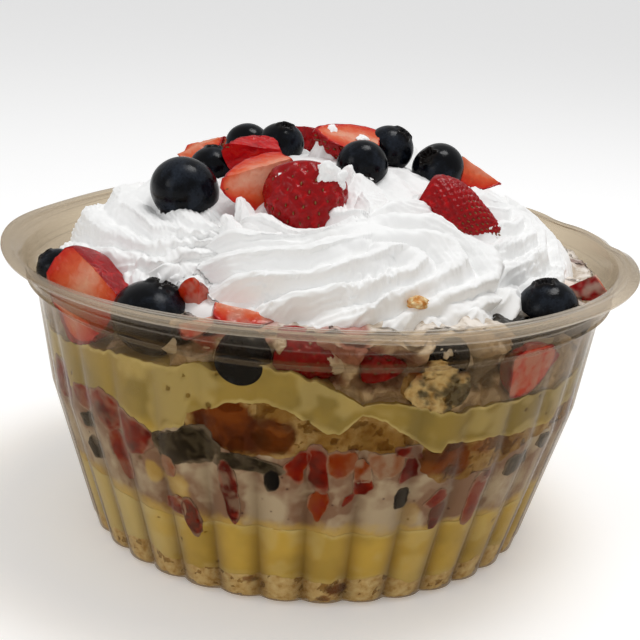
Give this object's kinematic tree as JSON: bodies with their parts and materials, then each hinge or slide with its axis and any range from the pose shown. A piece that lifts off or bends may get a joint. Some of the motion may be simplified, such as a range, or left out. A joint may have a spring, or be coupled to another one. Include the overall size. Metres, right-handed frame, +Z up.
{
  "type": "berry trifle in a clear bowl",
  "caption": "Layered trifle of sponge, custard, cream and berries under piped whipped cream, in the round fluted clear plastic bowl that holds it.",
  "frame": {"origin": "centre of the bowl's flat underside", "axes": "+Z up through the middle of the bowl, -Y towards the front of the trifle, +X to the right seen from the front"},
  "size_m": [0.178, 0.178, 0.1144],
  "materials": {
    "clear_plastic": "thin clear thermoformed plastic, glossy",
    "sponge": "pale crumb with brown crust, matte",
    "custard": "smooth custard, soft gloss",
    "layer_cream": "off-white cream with small dark specks",
    "whipped_cream": "aerated whipped cream, soft matte",
    "blueberry": "dark skin with a grey bloom",
    "strawberry": "wet red skin with seeds, paler cut flesh"
  },
  "bodies": {
    "root": {"bowl": "clear_plastic", "sponge_lower": "sponge", "custard_lower": "custard", "cream_middle": "layer_cream", "sponge_middle": "sponge", "custard_upper": "custard", "whipped_cream": "whipped_cream", "blueberry_top_left": "blueberry", "blueberry_top_left_back": "blueberry", "blueberry_top_middle": "blueberry", "blueberry_top_behind": "blueberry", "blueberry_top_front": "blueberry", "blueberry_top_right": "blueberry", "blueberry_top_far_right": "blueberry", "blueberry_top_rear": "blueberry", "blueberry_rim_left": "blueberry", "blueberry_rim_front_left": "blueberry", "blueberry_rim_front": "blueberry", "blueberry_rim_right_low": "blueberry", "blueberry_rim_right": "blueberry", "blueberry_rim_far_right": "blueberry", "blueberry_rim_back": "blueberry", "blueberry_rim_back_left": "blueberry", "strawberry_top_big": "strawberry", "strawberry_top_slice": "strawberry", "strawberry_top_block": "strawberry", "strawberry_top_pale": "strawberry", "strawberry_top_back": "strawberry", "strawberry_top_right": "strawberry", "strawberry_top_far_right": "strawberry", "strawberry_top_rear": "strawberry", "strawberry_top_rear_left": "strawberry", "strawberry_rim_left": "strawberry", "strawberry_rim_sliver": "strawberry", "strawberry_rim_pale_left": "strawberry", "strawberry_rim_pale": "strawberry", "strawberry_rim_front": "strawberry", "strawberry_rim_dark": "strawberry", "strawberry_rim_right": "strawberry", "strawberry_rim_far_right": "strawberry", "strawberry_rim_back_right": "strawberry", "strawberry_rim_back": "strawberry", "blueberry_wall_left": "blueberry", "blueberry_wall_front_left": "blueberry", "blueberry_wall_front": "blueberry", "blueberry_wall_front_right": "blueberry", "blueberry_wall_right": "blueberry", "blueberry_wall_back": "blueberry", "strawberry_wall_far_left": "strawberry", "strawberry_wall_left": "strawberry", "strawberry_wall_left_low": "strawberry", "strawberry_wall_seeded": "strawberry", "strawberry_wall_low": "strawberry", "strawberry_wall_front": "strawberry", "strawberry_wall_front_right": "strawberry", "strawberry_wall_right": "strawberry", "strawberry_wall_far_right": "strawberry", "strawberry_wall_side": "strawberry", "strawberry_wall_back": "strawberry", "sponge_rim": "sponge"}
  },
  "joints": []
}
